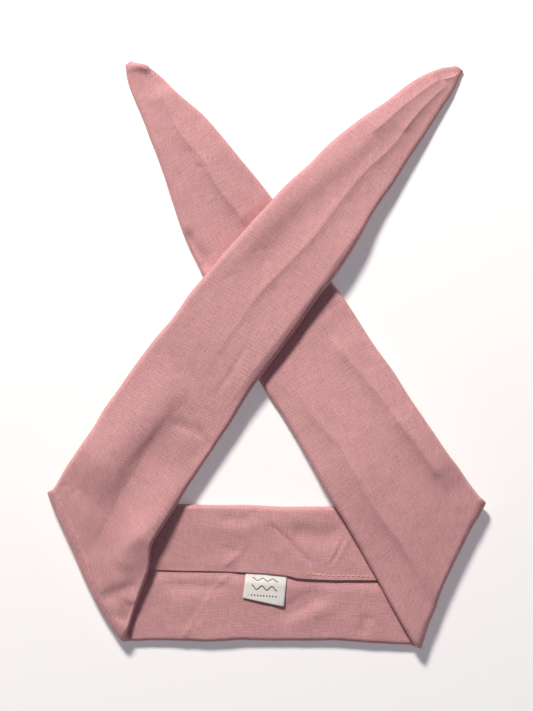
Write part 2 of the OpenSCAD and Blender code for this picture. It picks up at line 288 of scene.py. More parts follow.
left_bend = bend_at(LEFT)
right_bend = bend_at(RIGHT)
left_first, right_first = (arm["skew"][0][0] for arm in (LEFT, RIGHT))
FOLD_TURNS = np.linspace(0, 180, 19)
MIDDLE_ROWS = 158
ZONES = [
    ("left_ear", arm_rows(LEFT, spaced(LEFT["length"], left_bend + BEND_HALF))),
    ("left_bend", arm_rows(LEFT, spaced(left_bend + BEND_HALF, left_bend - BEND_HALF))),
    ("left_arm", arm_rows(LEFT, spaced(left_bend - BEND_HALF, left_first))),
    ("fold_left", fold_rows(LEFT, FOLD_TURNS[::-1])),
    ("middle", middle_rows(MIDDLE_ROWS)),
    ("fold_right", fold_rows(RIGHT, FOLD_TURNS)),
    ("right_arm", arm_rows(RIGHT, spaced(right_first, right_bend - BEND_HALF))),
    ("right_bend", arm_rows(RIGHT, spaced(right_bend - BEND_HALF, right_bend + BEND_HALF))),
    ("right_ear", arm_rows(RIGHT, spaced(right_bend + BEND_HALF, RIGHT["length"]))),
]


# -------------------- the grid of the whole band

def join_zones():
    """One array of rows for the whole band, and the rows that belong to each zone."""
    parts, spans, first = [], {}, 0
    for k, (name, rows) in enumerate(ZONES):
        keep = slice(0 if k == 0 else 1, None)
        parts.append([r[keep] for r in rows])
        last = first + len(rows[0]) - 1
        spans[name] = slice(first, last + 1)
        first = last
    return [np.concatenate([p[k] for p in parts]) for k in range(4)], spans


(edge_a, edge_b, thick, seam_normal), SPANS = join_zones()
ROWS = len(thick)
row_zone = np.empty(ROWS, object)
for name, rows in SPANS.items():
    row_zone[rows] = name
in_fold = np.isin(row_zone, ("fold_left", "fold_right"))
middle = SPANS["middle"]
middle_first, middle_last = middle.start, middle.stop - 1
centre = (edge_a + edge_b) / 2
row_at = np.concatenate([[0], np.cumsum(np.linalg.norm(np.diff(centre, axis=0), axis=1))])

# Small wobbles of the two edges, read off two lines of a gently uneven surface
EDGE_WAVES = (8, 14, 60, 0.35)
for edge, line_at in ((edge_a, -50.0), (edge_b, 50.0)):
    wobble = waves(np.stack([row_at, np.full(ROWS, line_at)], 1), *EDGE_WAVES)
    across_row = (edge_b - edge_a) / np.linalg.norm(edge_b - edge_a, axis=1)[:, None]
    edge += across_row * wobble[:, None]

width = np.linalg.norm(edge_b - edge_a, axis=1)
across = (edge_b - edge_a) / width[:, None]

# The seam's place on each row as a share of its width, how far its lower edge lies off the tube's
# middle plane, and how far its fold stands off it. In the folds and arms the seam comes back to the
# middle of the tube, and its lower edge moves out to keep clear of the wire.
SEAM_RETURN = 90
LOWER_CHANGE = 40
seam_share = np.full(ROWS, 0.5)
seam_low = np.full(ROWS, LOWER_AT_SEAM)
for _ in range(3):
    x = edge_a[middle, 0] + seam_share[middle] * (edge_b - edge_a)[middle, 0]
    seam_share[middle] = (curve(SEAM_LINE, x) - edge_a[middle, 1]) / (edge_b - edge_a)[middle, 1]
for fold_row, way in ((middle_first, -1), (middle_last, 1)):
    start = seam_share[fold_row]
    rows = np.arange(0, fold_row) if way < 0 else np.arange(fold_row + 1, ROWS)
    gone = np.abs(row_at[rows] - row_at[fold_row])
    seam_share[rows] = 0.5 + (start - 0.5) * (1 - smooth_step(gone, 0, SEAM_RETURN))
    seam_low[rows] += (LOWER_ON_ARM - LOWER_AT_SEAM) * smooth_step(gone, 0, LOWER_CHANGE)
seam_lift = curve(SEAM_LIFT, np.where(np.arange(ROWS) < middle_first, -100.0, 100.0))
seam_lift[middle] = curve(SEAM_LIFT, centre[middle, 0])

# How far the outermost line of the tube's two edges stands off its middle plane, as a share of half
# its thickness: the edges droop to what lies below, and at a fold they gather at the outside
TIP_BY_TURN = [(0, -0.5), (45, -0.85), (90, -0.95), (135, -0.75), (180, 0.35)]
tip = np.full(ROWS, TIP_BY_TURN[-1][1])
tip[middle] = TIP_BY_TURN[0][1]
for zone, order in (("fold_left", -1), ("fold_right", 1)):
    tip[SPANS[zone]] = curve(TIP_BY_TURN, FOLD_TURNS)[::order]


def rounded(turn, half, at):
    """Height of the tube's surface round an edge whose outermost line is at the height at."""
    reach = np.where(turn < math.pi / 2, half - at, half + at)
    return at + reach * np.sign(np.cos(turn)) * np.abs(np.cos(turn)) ** EDGE_POWER


# Columns of the grid in the stretches of a section
FACE_COLS = 26
BACK_COLS = 56
EDGE_COLS = 11
SEAM_FOLD_COLS = 6
TUCK_COLS = 4


def steps(first, end, count):
    """Even steps from first, without the end itself, where the next stretch starts."""
    return np.linspace(first, end, count + 1)[:-1]


def loop_section(w, t, seam, low, lift, tip):
    """One section of the tube, as stretches of (name, distances across, heights).

    The section is w wide and t thick, with its seam at the share seam of the width. The across
    direction runs from edge a to edge b, and height is towards the seam's face."""
    size = t / TUBE_T
    # where the tube gets narrow, each of these takes no more than a share of its width
    round_w = min(EDGE_ROUND, 0.42 * w)
    tuck = min(SEAM_TUCK, 0.2 * w)
    rise = min(LOWER_RISE, 0.25 * w)
    dip = min(UPPER_DIP, 0.2 * w)
    half = t / 2
    # the seam's lower edge keeps clear of the wire's coat where the tube gets thin, too
    lower = max(low * size, min(low, half - 0.1))
    fold_low = lower + (lift - LOWER_AT_SEAM) * size
    fold_r = SEAM_FOLD_T * size / 2
    at = seam * w
    top = fold_low + 2 * fold_r
    below = steps(at, w - round_w, FACE_COLS)
    above = steps(round_w, at, FACE_COLS)
    turn = steps(0, math.pi, EDGE_COLS)
    fold_turn = steps(0, math.pi, SEAM_FOLD_COLS)
    return [
        ("flap", steps(at - tuck, at, TUCK_COLS), np.full(TUCK_COLS, lower)),
        ("lower", below, lower + (half - lower) * smooth_step(below, at, at + rise)),
        ("edge_b", w - round_w * (1 - np.sin(turn)), rounded(turn, half, tip * half)),
        ("plain", steps(w - round_w, round_w, BACK_COLS), np.full(BACK_COLS, -half)),
        ("edge_a", round_w * (1 - np.sin(turn)), rounded(math.pi - turn, half, tip * half)),
        ("upper", above, half + (top - half) * smooth_step(above, at - dip, at)),
        ("seam_fold", at + fold_r * np.sin(fold_turn), fold_low + fold_r * (1 + np.cos(fold_turn))),
        ("tuck", np.linspace(at, at - tuck, TUCK_COLS + 1), np.full(TUCK_COLS + 1, fold_low)),
    ]


def make_grid():
    """Places, round-the-tube coordinates and stretch names for every row and column."""
    points, around, names = [], [], None
    for i in range(ROWS):
        stretches = loop_section(width[i], thick[i], seam_share[i], seam_low[i], seam_lift[i],
                                 tip[i])
        q = np.concatenate([s[1] for s in stretches])
        p = np.concatenate([s[2] for s in stretches])
        if names is None:
            names = np.concatenate([np.full(len(s[1]), s[0]) for s in stretches])
        points.append(edge_a[i] + q[:, None] * across[i] + p[:, None] * seam_normal[i])
        around.append(np.concatenate([[0], np.cumsum(np.hypot(np.diff(q), np.diff(p)))]))
    return np.array(points), np.array(around), names


grid, around, stretch = make_grid()
COLS = len(stretch)


def bow_folds():
    """Bows a fold's edge out or in, most at its outermost line."""
    for arm, zone in ((LEFT, "fold_left"), (RIGHT, "fold_right")):
        foot, inward, upper = fold_plan(arm)
        rows = grid[SPANS[zone]]
        k = (rows - foot) @ upper
        gone = (foot - rows) @ inward / foot[2]
        rows -= inward * (curve(arm["bow"], k) * gone)[..., None]


bow_folds()


def grid_normals(points):
    """Outward unit normals of a grid of points."""
    normal = np.cross(np.gradient(points, axis=1), np.gradient(points, axis=0))
    size = np.linalg.norm(normal, axis=2, keepdims=True)
    return normal / np.maximum(size, 1e-9)


# -------------------- creases

# Each crease: its points, its height, how far it fades to the left and to the right, whether it is
# sharp, and its taper
LEFT_CREASES = [
    # the long valley beside the corner and the broad folds on both its sides
    ([(-38, -24), (-44, -26.5), (-51, -32), (-58, -40), (-65, -50), (-72.5, -64.5), (-81.5, -79),
      (-87.5, -91.5), (-93, -102), (-99, -116)], -1.3, 16, 7, True, 0.12),
    ([(-40, -10), (-45, -15), (-54, -22), (-64, -32), (-80, -47), (-95, -60), (-108, -73)],
     2.9, 13, 15),
    ([(-47, -25), (-59, -36), (-66, -44), (-74, -52), (-86, -71), (-92, -87)], 1.5, 5.5, 12),
    ([(-66, -94), (-75, -107), (-84, -118)], 1.4, 9, 6),
    ([(-44, -63), (-50, -74), (-60, -89), (-73, -101), (-86, -111)], 1.9, 5, 15),
    ([(-54, -37), (-46, -40), (-39, -43), (-34, -48)], -0.8, 4, 2),
    ([(-30, -44), (-36, -52), (-44, -60)], -0.6, 4, 4),
    ([(-9, 8), (-24, -18), (-35, -30)], -0.25, 0.8, 1.2, True),
    ([(-109, -78), (-105, -75), (-100, -73)], -0.45, 1, 1.5, True),
    ([(-115, -74), (-111, -72), (-107, -73)], -0.4, 1, 1.2, True),
    ([(-56, -103), (-62, -113), (-70, -121), (-82, -124)], -1.1, 6, 7),
    ([(-92, -137), (-85, -132), (-79, -130), (-73, -128), (-68, -128)], -1.5, 3.5, 5),
    ([(-72, -136), (-78, -150)], -1.6, 8, 8),
    # the arm is highest near its inner edge, which tilts its face to the outer one
    ([(66, 87), (46, 61.5), (28, 36), (8, 10), (-12, -16), (-26, -34)], 2.8, 5, 34, True),
    # two folds run through the crossing to the tip: a wide one near the outer edge
    ([(98, 154), (88, 146.5), (76, 137.5), (59, 122.5), (42, 108.5), (24, 94), (7, 79), (-8, 63),
      (-21, 49), (-30, 38)], 2.3, 8, 11),
    ([(98, 154), (86, 145.5), (76, 137.5), (67, 129.5), (57, 121)], 1.3, 3, 8, True, 0.1),
    ([(102, 151), (93, 143), (83, 132.5), (75, 122)], 0.9, 2.5, 6, True, 0.1),
    # and a sharp one along the middle, which goes on as a faint line
    ([(101, 150), (93, 143), (83, 132.5), (69.5, 115), (53, 99.5), (39.5, 82.5), (26, 65), (11, 49),
      (-4, 33), (-17, 15)], 1.5, 4, 8, True),
    ([(10, 50), (-4, 33), (-17, 15), (-27, 1), (-36, -12)], 0.5, 2, 4, True),
    ([(-24, 40), (-19, 44), (-13, 46)], -0.3, 1, 1.6, True),
    ([(-8, 56), (-3, 58), (3, 58)], -0.25, 1, 1.6, True),
    ([(-9, 7), (-18, -8), (-29, -23)], -0.35, 0.8, 1.2, True),
    ([(107, 156), (103, 154), (98, 153)], 1.1, 2.2, 1.5, True, 0.1),
]
LONG_FOLD = [(6, 2), (17, -16), (24, -31), (33, -42), (40, -49), (45, -58), (52, -70), (59, -83),
             (67, -94), (77, -108), (84, -120), (95, -139)]
RIGHT_CREASES = [
    # two long pressed folds, each with its broad side towards the inner edge
    (LONG_FOLD, 2.2, 24, 5, True),
    (LONG_FOLD[4:], 1.2, 8, 5, True),
    ([(33, 12), (42, 1), (50.5, -8), (57.5, -17), (65.5, -26), (70.5, -33), (76, -40), (82, -48),
      (89, -58), (96, -68), (102, -77)], 2.6, 24, 5, True, 0.15),
    ([(66, -30), (75, -40), (82, -48), (89, -58), (97, -69)], 1.2, 8, 4, True),
    ([(28, 19), (35, 25), (43, 31)], -0.5, 1.2, 1.6, True),
    ([(26, 27), (31, 33), (37, 38)], -0.4, 1.2, 1.6, True),
    ([(97, -103), (102, -100), (107, -98)], 0.25, 0.8, 1, True),
    # the ear's long crease and the short ones beside it
    ([(-62, 151), (-55, 137), (-49, 125), (-42, 116), (-33, 106), (-27, 94), (-21, 86), (-16, 79),
      (-8, 70)], 2.4, 22, 5, True, 0.1),
    ([(-42, 112), (-33, 103), (-27, 93), (-21, 85), (-15, 78)], 1.2, 8, 5, True),
    ([(-40, 104), (-36, 104), (-32, 105)], -0.5, 1, 1.2, True),
    ([(-46, 70), (-42, 62), (-37, 55), (-31, 45)], -2.2, 4, 4),
    ([(-54, 96), (-50, 85), (-46, 73)], -0.5, 1.2, 1.6, True),
    ([(-79, 160.5), (-73, 161), (-64, 159.5)], 2.4, 1.5, 3, False, 0.1),
]
MIDDLE_CREASES = [
    ([(-28, -92), (-17, -91.5), (-6, -92)], -0.6, 3, 3),
    ([(-46, -95), (-20, -96), (10, -92), (40, -91)], 0.5, 5, 5),
    ([(12, -98), (28, -100), (44, -99)], -1.1, 5, 6),
    # a kinked line and a narrow raised strip in the upper half
    ([(1, -93), (9, -99.5), (16, -106.5), (21, -111.5), (27, -117)], -0.95, 0.8, 1.8, True, 0.1),
    ([(47, -99), (42, -109), (35, -120)], 0.7, 0.8, 1.4, True),
    ([(42.5, -99), (38, -110), (32, -118)], 0.7, 1.4, 0.8, True),
    ([(44.5, -99), (40, -109.5), (34, -118)], -0.8, 1.6, 1.6),
    ([(-9, -105), (-17, -112), (-25, -119)], 0.9, 1.2, 1.6, True),
    ([(-26, -106), (-16, -109), (-6, -106)], -0.5, 2, 3),
    # the long ridge across the lower half and the hollow beside it
    ([(-18, -121), (-28, -129), (-33, -137), (-38, -145), (-47, -159)], 1.1, 1, 2.2, True, 0.12),
    ([(-23, -126), (-32, -134), (-38, -145), (-45, -156)], -0.9, 2, 4),
    ([(-60, -124), (-47, -128), (-34, -128), (-17, -127)], -1.2, 4, 4),
    ([(5, -147), (14, -142), (22, -137), (33, -128)], -1.4, 6, 6),
    ([(8, -151), (24, -144), (40, -138)], 0.8, 4, 5),
    ([(53, -156), (55, -150), (56, -143)], -0.7, 4, 3),
    ([(-2, -127), (3, -141)], -0.3, 5, 5),
    # the row of closing stitches pulls the cloth in
    ([(23, -122.1), (50, -122.6), (75, -123.1)], -0.22, 0.9, 0.9, True, 0.05),
]
# Limits: how far the hidden face sinks in, how high a free crease stands, and one under an arm
UNDER_DEPTH = 0.35
FREE_TOP = 4.5
COVERED_TOP = 0.35
# The unevenness of all faces: number of waves, shortest, longest, height
SLOW_WAVES = (16, 22, 75, 0.35)
FINE_WAVES = (24, 5, 16, 0.06)
UNDER_WAVES = (12, 18, 60, 3.0)
# The least the upper face keeps off the tube's middle plane over the wire, and off its underside
# beside the wire
WIRE_CLEARANCE = 1.15
FLOOR_CLEARANCE = 2.2
# Creases fade out where the tube is as narrow as this
NARROW = (2, 13)


def covered(xy, arm):
    """1 where an arm lies over a place, fading to 0 at 8 mm beside it."""
    start, ahead = arm_plan(arm)
    rel = xy - start[:2]
    along = rel @ ahead[:2]
    out = arm["side"] * (rel[:, 1] * ahead[0] - rel[:, 0] * ahead[1])
    inside = np.minimum(curve(arm["outer"], along) - out, curve(arm["inner"], along) + out)
    return smooth_step(inside, -8, 0)


def press_creases():
    """Moves the grid's points in or out by the creases and a gentle unevenness."""
    normal = grid_normals(grid)
    flat = grid.reshape(-1, 3)
    plan = flat[:, :2]
    facing = normal.reshape(-1, 3)[:, 2]
    rows = np.repeat(np.arange(ROWS), COLS)
    mid_row = np.isin(rows, np.arange(middle_first, middle_last + 1))
    right = rows > middle_last
    low_half = mid_row | (in_fold[rows] & (flat[:, 2] < TUBE_T))
    top = np.zeros(len(flat))
    over_left = covered(plan, LEFT)
    over_right = covered(plan, RIGHT)
    faces = ((~right & ~low_half, LEFT_CREASES, 0 * over_left),
             (right & ~low_half, RIGHT_CREASES, over_left),
             (low_half, MIDDLE_CREASES, np.maximum(over_left, over_right)))
    for mask, creases, cover in faces:
        h = waves(plan[mask], *SLOW_WAVES) + waves(plan[mask], *FINE_WAVES)
        for points, height, *shape in creases:
            h += crease(plan[mask], points, height, *shape)
        highest = FREE_TOP + (COVERED_TOP - FREE_TOP) * cover[mask]
        top[mask] = np.minimum(h, highest)
    # the wire lies along the middle of the tube, and the cloth can sink deeper beside it
    half = np.repeat(thick, COLS) / 2
    off_wire = np.abs(np.einsum("ijk,ik->ij", grid - centre[:, None], across)).ravel()
    beside = smooth_step(off_wire, 2, 5) * ~low_half
    lowest = (-(half - WIRE_CLEARANCE) * (1 - beside)
              - (2 * half - FLOOR_CLEARANCE).clip(0.15) * beside)
    top = np.maximum(top, lowest)
    below = -UNDER_DEPTH * (0.5 + 0.5 * np.sin(waves(plan, *UNDER_WAVES)))
    hidden = np.isin(np.tile(stretch, ROWS), ("flap", "tuck", "seam_fold"))
    gentle = np.repeat(smooth_step(width, *NARROW), COLS)
    move = np.where(facing > 0, top * facing ** 2, below * facing ** 2) * gentle
    move[hidden & (facing < 0)] = 0
    return (flat + (move[:, None] * normal.reshape(-1, 3))).reshape(grid.shape)


# The left arm's inner edge stands off the middle above the seam: where, how high, how far round
EDGE_LIFT = ((-66, -102), 4.6, 22)


def lift_edge():
    """Raises the left arm's cloth towards its inner edge."""
    place, height, reach = EDGE_LIFT
    rows = SPANS["left_arm"]
    share = np.einsum("ijk,ik->ij", grid[rows] - edge_a[rows, None], across[rows]) / width[rows, None]
    gone = np.linalg.norm(grid[rows][..., :2] - place, axis=2)
    grid[rows, :, 2] += height * np.exp(-(gone / reach) ** 2) * smooth_step(share, 0.55, 1.0)


# The least height of the cloth over the floor
TABLE = 0.05

grid = press_creases()
lift_edge()
# nothing hangs below the tube's flat underside, which lies on the table or on the cloth under it
level = centre[:, 2] - thick / 2
level[in_fold] = 0
grid[..., 2] = np.maximum(grid[..., 2], np.maximum(level, TABLE)[:, None])
normals = grid_normals(grid)


# -------------------- making meshes

def add_object(name, data):
    """A new object in the scene."""
    obj = bpy.data.objects.new(name, data)
    bpy.context.scene.collection.objects.link(obj)
    return obj


def mesh_object(name, points, faces, material, smooth=True):
    """An object from points in millimetres."""
    mesh = bpy.data.meshes.new(name)
    mesh.from_pydata((np.asarray(points) * MM).tolist(), [], faces)
    mesh.polygons.foreach_set("use_smooth", [smooth] * len(mesh.polygons))
    mesh.materials.append(material)
    mesh.update()
    return add_object(name, mesh)


def quads(rows, cols, first=0, flip=False, ring=False):
    """Faces of a grid of points, whose columns close into a ring if ring is true."""
    i, j = np.meshgrid(np.arange(rows - 1), np.arange(cols if ring else cols - 1), indexing="ij")
    a = first + i * cols + j
    b = first + i * cols + (j + 1) % cols
    face = np.stack([a, b, b + cols, a + cols], -1).reshape(-1, 4)
    return (face[:, ::-1] if flip else face).tolist()


def sheet_object(name, outer, inner, material):
    """A closed sheet from the grids of points of its two faces."""
    rows, cols = outer.shape[:2]
    count = rows * cols
    index = np.arange(count).reshape(rows, cols)
    rim = np.concatenate([index[0], index[1:, -1], index[-1, -2::-1], index[-2:0:-1, 0]]).tolist()
    faces = quads(rows, cols) + quads(rows, cols, count, flip=True)
    faces += [[a, a + count, b + count, b] for a, b in zip(rim, rim[1:] + rim[:1])]
    both = np.concatenate([outer.reshape(-1, 3), inner.reshape(-1, 3)])
    return mesh_object(name, both, faces, material)


def cloth_piece(name, points, outward, weave, material):
    """A closed piece of cloth with points as its outer face, smooth across its cut ends."""
    deep = np.minimum(CLOTH_T, 0.25 * np.linalg.norm(points.max(1) - points.min(1), axis=1))
    inner = points - outward * deep[:, None, None]
    inner[..., 2] = np.maximum(inner[..., 2], TABLE)
    obj = sheet_object(name, points, inner, material)
    store_weave(obj, np.concatenate([weave.reshape(-1, 2)] * 2))
    shading = np.concatenate([outward.reshape(-1, 3), -outward.reshape(-1, 3)])
    obj.data.normals_split_custom_set_from_vertices(shading.tolist())
    return obj


def store_weave(obj, places):
    """Keeps each point's place on the cloth, in mm, for the material's weave."""
    attribute = obj.data.attributes.new("weave", "FLOAT_VECTOR", "POINT")
    full = np.concatenate([places, np.zeros((len(places), 1))], 1)
    attribute.data.foreach_set("vector", full.astype(np.float32).ravel())


# -------------------- materials

class Shader:
    """Builds the node tree of one material."""

    def __init__(self, name, color, roughness, **settings):
        self.material = bpy.data.materials.new(name)
        self.material.use_nodes = True
        self.tree = self.material.node_tree
        self.surface = self.tree.nodes["Principled BSDF"]
        self.surface.inputs["Base Color"].default_value = (*color, 1)
        self.surface.inputs["Roughness"].default_value = roughness
        for key, value in settings.items():
            self.surface.inputs[key.replace("_", " ")].default_value = value

    def node(self, kind, *inputs, output=0, **settings):
        """Adds a node, sets or links its inputs in their order, and returns one output."""
        made = self.tree.nodes.new(kind)
        for key, value in settings.items():
            setattr(made, key, value)
        for socket, value in zip(made.inputs, inputs):
            if isinstance(value, bpy.types.NodeSocket):
                self.tree.links.new(value, socket)
            elif value is not None:
                socket.default_value = value
        return made.outputs[output]

    def math(self, operation, a, b=0.0):
        """One operation on two values or outputs."""
        return self.node("ShaderNodeMath", a, b, operation=operation)

    def total(self, *parts):
        """The sum of (output, share) parts."""
        shares = [self.math("MULTIPLY", *part) for part in parts]
        result = shares[0]
        for share in shares[1:]:
            result = self.math("ADD", result, share)
        return result

    def places(self):
        """The object's own coordinates, in metres."""
        return self.node("ShaderNodeTexCoord", output=3)

    def stretched_noise(self, places, sizes, scale):
        """Noise on places that are first scaled by sizes, centred on zero."""
        at = self.node("ShaderNodeVectorMath", places, sizes, operation="MULTIPLY")
        made = self.node("ShaderNodeTexNoise", at, None, scale)
        return self.math("SUBTRACT", made, 0.5)

    def tint(self, color, amount):
        """The colour, made lighter or darker by an amount that varies over the surface."""
        factor = self.math("ADD", amount, 1.0)
        grey = self.node("ShaderNodeCombineColor", factor, factor, factor)
        mix = self.tree.nodes.new("ShaderNodeMix")
        mix.data_type, mix.blend_type = "RGBA", "MULTIPLY"
        mix.inputs["Factor"].default_value = 1.0
        mix.inputs["A"].default_value = (*color, 1)
        self.tree.links.new(grey, mix.inputs["B"])
        self.tree.links.new(mix.outputs["Result"], self.surface.inputs["Base Color"])

    def bump(self, height, distance, strength):
        """Bumps of a height of 1 that stand distance mm off the surface."""
        made = self.tree.nodes.new("ShaderNodeBump")
        made.inputs["Strength"].default_value = strength
        made.inputs["Distance"].default_value = distance * MM
        self.tree.links.new(height, made.inputs["Height"])
        self.tree.links.new(made.outputs["Normal"], self.surface.inputs["Normal"])


def cloth_material():
    """Cotton in a plain weave, with slubs, specks and a slow unevenness of its dye."""
    shader = Shader("pink_cotton", CLOTH_COLOR, 0.85, Sheen_Weight=0.35, Sheen_Roughness=0.45,
                    Specular_IOR_Level=0.25)
    shader.surface.inputs["Sheen Tint"].default_value = (1.0, 0.82, 0.80, 1)
    places = shader.node("ShaderNodeAttribute", attribute_name="weave", output=1)
    over = [shader.node("ShaderNodeSeparateXYZ", places, output=k) for k in (0, 1)]
    weave = shader.math("MULTIPLY", *(
        shader.math("SINE", shader.math("MULTIPLY", at, math.pi / THREAD_PITCH)) for at in over))
    # thicker and thinner threads along and across the band
    warp = shader.stretched_noise(places, (0.12, 1.8, 0), 1.0)
    weft = shader.stretched_noise(places, (1.8, 0.12, 0), 1.0)
    slubs = shader.math("ADD", warp, weft)
    specks = shader.stretched_noise(places, (1.5, 1.5, 0), 1.0)
    dye = shader.stretched_noise(places, (0.03, 0.03, 0), 1.0)
    shader.tint(CLOTH_COLOR, shader.total((slubs, 0.50), (specks, 0.90), (dye, 0.10), (weave, 0.03)))
    shader.bump(shader.total((weave, 0.5), (slubs, 1.6)), 0.12, 0.8)
    return shader.material


def label_material(name, color):
    """Satin ribbon: fine ribs across it and a soft gloss."""
    shader = Shader(name, color, 0.5, Sheen_Weight=0.15, Specular_IOR_Level=0.4)
    ribs = shader.stretched_noise(shader.places(), (1, 9, 9), 500.0)
    grain = shader.stretched_noise(shader.places(), (1, 1, 1), 1800.0)
    shader.tint(color, shader.total((ribs, 0.12), (grain, 0.10)))
    shader.bump(ribs, 0.05, 0.5)
    return shader.material


def grained_material(name, color, roughness, scale, tint, depth, strength, **settings):
    """A plain stuff with a fine grain that varies its colour and its height."""
    shader = Shader(name, color, roughness, **settings)
    grain = shader.stretched_noise(shader.places(), (1, 1, 1), scale)
    shader.tint(color, shader.math("MULTIPLY", grain, tint))
    shader.bump(grain, depth, strength)
    return shader.material


CLOTH_COLOR = (0.598, 0.308, 0.315)
THREAD_COLOR = (0.72, 0.50, 0.34)
LABEL_COLOR = (0.80, 0.78, 0.73)
MARK_COLOR = (0.035, 0.035, 0.04)
COAT_COLOR = (0.80, 0.78, 0.74)
STEEL_COLOR = (0.55, 0.56, 0.58)
FLOOR_COLOR = (0.93, 0.93, 0.93)
THREAD_PITCH = 0.5

cloth = cloth_material()
thread = grained_material("cream_thread", THREAD_COLOR, 0.6, 4000.0, 0.5, 0.05, 0.5, Sheen_Weight=0.3)
ribbon = label_material("label_ribbon", LABEL_COLOR)
mark = label_material("label_mark", MARK_COLOR)
coat = grained_material("white_wire_coat", COAT_COLOR, 0.45, 300.0, 0.1, 0.05, 0.3)
steel = grained_material("steel_wire", STEEL_COLOR, 0.35, 900.0, 0.2, 0.02, 0.3, Metallic=1.0)


# -------------------- the cloth pieces

def cut_cloth():
    """The band's cloth, one piece for each zone."""
    places = np.stack([np.repeat(row_at[:, None], COLS, 1), around], -1)
    made = {}
    for zone, rows in SPANS.items():
        made[zone] = cloth_piece("cloth_" + zone, grid[rows], normals[rows], places[rows], cloth)
    return made


def blend_across(obj):
    """Keeps a piece of a fold or a bend where it lies, with its place baked into its mesh."""
    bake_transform(obj)


def put_in_place(obj, zone, node):
    """Attaches a piece to its zone's body, or keeps it where it lies in a fold or a bend, in place of a
    CAD node.
    """
    if zone.startswith("fold") or zone.endswith("bend"):
        blend_across(obj)
    else:
        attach(obj, zone)
    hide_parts(node)


pieces = cut_cloth()
for zone, piece in pieces.items():
    put_in_place(piece, zone, "sleeve_" + zone)


# -------------------- wire, coat and thread

def unit(v):
    """Vectors of length 1."""
    return v / np.linalg.norm(v, axis=-1, keepdims=True)


def rings_along(path, radius, sides, up=UP):
    """Rings of points of a radius round a path. The first point of each ring lies towards up."""
    ahead = unit(np.gradient(path, axis=0))
    side = unit(np.cross(ahead, up))
    top = np.cross(side, ahead)
    turn = np.linspace(0, 2 * math.pi, sides, endpoint=False)
    radius = np.broadcast_to(radius, (len(path),))[:, None, None]
    around_it = np.cos(turn)[None, :, None] * top[:, None] + np.sin(turn)[None, :, None] * side[:, None]
    return path[:, None] + radius * around_it


def rod_parts(path, radius, sides=10, up=UP):
    """Points and faces of a closed round rod along a path."""
    rings = rings_along(path, radius, sides, up)
    faces = quads(len(path), sides, ring=True)
    faces += [list(range(sides))[::-1], [(len(path) - 1) * sides + k for k in range(sides)]]
    return rings.reshape(-1, 3), faces


def hose_parts(path, inner, outer, sides=16, up=UP):
    """Points and faces of a tube along a path, with a bore and two flat ends."""
    out, bore = (rings_along(path, r, sides, up) for r in (outer, inner))
    count = len(path) * sides
    faces = quads(len(path), sides, ring=True) + quads(len(path), sides, count, flip=True, ring=True)
    last = count - sides
    for k in range(sides):
        n = (k + 1) % sides
        faces.append([n, k, count + k, count + n])
        faces.append([last + k, last + n, last + count + n, last + count + k])
    return np.concatenate([out.reshape(-1, 3), bore.reshape(-1, 3)]), faces


def joined(parts):
    """Many (points, faces) as one."""
    points, faces, first = [], [], 0
    for p, f in parts:
        points.append(p)
        faces += [[first + v for v in face] for face in f]
        first += len(p)
    return np.concatenate(points), faces


WIRE_R = 0.6
COAT_R = 1.0
BORE_R = 0.66
# Where the wire crosses a fold, measured along it, and half the length of the CAD's bends
WIRE_AT_FOLD = {"left": 1.0, "right": 0.2}
CAD_BEND_HALF = 5.0


def fold_wire_path(arm, side):
    """The wire's half turn round a fold, in the middle of the cloth tube."""
    foot, inward, upper = fold_plan(arm)
    k = WIRE_AT_FOLD[side]
    radius = foot[2] - TUBE_T / 2
    depth = radius * (1 + float(curve(arm["bow"], k)) / foot[2])
    turn = np.linspace(0, math.pi, 25)[:, None]
    place = foot * [1, 1, 0] + upper * k
    return place - inward * np.sin(turn) * depth + UP * (foot[2] - np.cos(turn) * radius), upper


def bend_wire_path(arm):
    """The wire's straight run under an ear's bend, between the two wires that it joins."""
    at = bend_at(arm) + CAD_BEND_HALF * np.array([-1, 1])
    a, b, _, _ = arm_rows(arm, at)
    ends = (a + b) / 2
    return ends[0] + np.linspace(0, 1, 9)[:, None] * (ends[1] - ends[0]), UP


def wires_across_joints():
    """The wire and its coat in each fold and bend."""
    for side, arm in (("left", LEFT), ("right", RIGHT)):
        for zone, (path, up) in (("fold_" + side, fold_wire_path(arm, side)),
                                 (side + "_bend", bend_wire_path(arm))):
            wire = mesh_object("steel_" + zone, *rod_parts(path, WIRE_R, up=up), steel)
            coating = mesh_object("coating_" + zone, *hose_parts(path, BORE_R, COAT_R, up=up), coat)
            put_in_place(wire, zone, "wire_" + zone)
            put_in_place(coating, zone, "coat_" + zone)


wires_across_joints()

# The long seam's thread: its radius, the length and rise of its stitches, the step between its
# points, the grid's columns that it runs between, and the rows in each zone that it runs along
SEAM_THREAD_R = 0.14
SEAM_STITCH = 2.6
SEAM_STITCH_RISE = 0.12
SEAM_THREAD_STEP = 0.6
FLAP_COLUMN = 1
TUCK_COLUMN = COLS - 2
SEWN_ROWS = {"middle": slice(1, -1), "left_arm": slice(1, -1), "left_ear": slice(21, -1),
             "right_arm": slice(1, -1), "right_ear": slice(1, -21)}


def seam_threads():
    """The long seam's running thread, between the two cloth edges that lie under the seam's fold."""
    for zone, sewn in SEWN_ROWS.items():
        rows = grid[SPANS[zone]][sewn]
        path = (rows[:, FLAP_COLUMN] + rows[:, TUCK_COLUMN]) / 2
        run = np.cumsum(np.linalg.norm(np.gradient(path, axis=0), axis=1))
        fine = np.arange(run[0], run[-1], SEAM_THREAD_STEP)
        path = np.stack([np.interp(fine, run, path[:, k]) for k in range(3)], 1)
        path[:, 2] += SEAM_STITCH_RISE * np.sin(2 * math.pi * fine / SEAM_STITCH)
        piece = mesh_object("thread_" + zone, *rod_parts(path, SEAM_THREAD_R, 6), thread)
        put_in_place(piece, zone, "seam_thread_" + zone)


seam_threads()

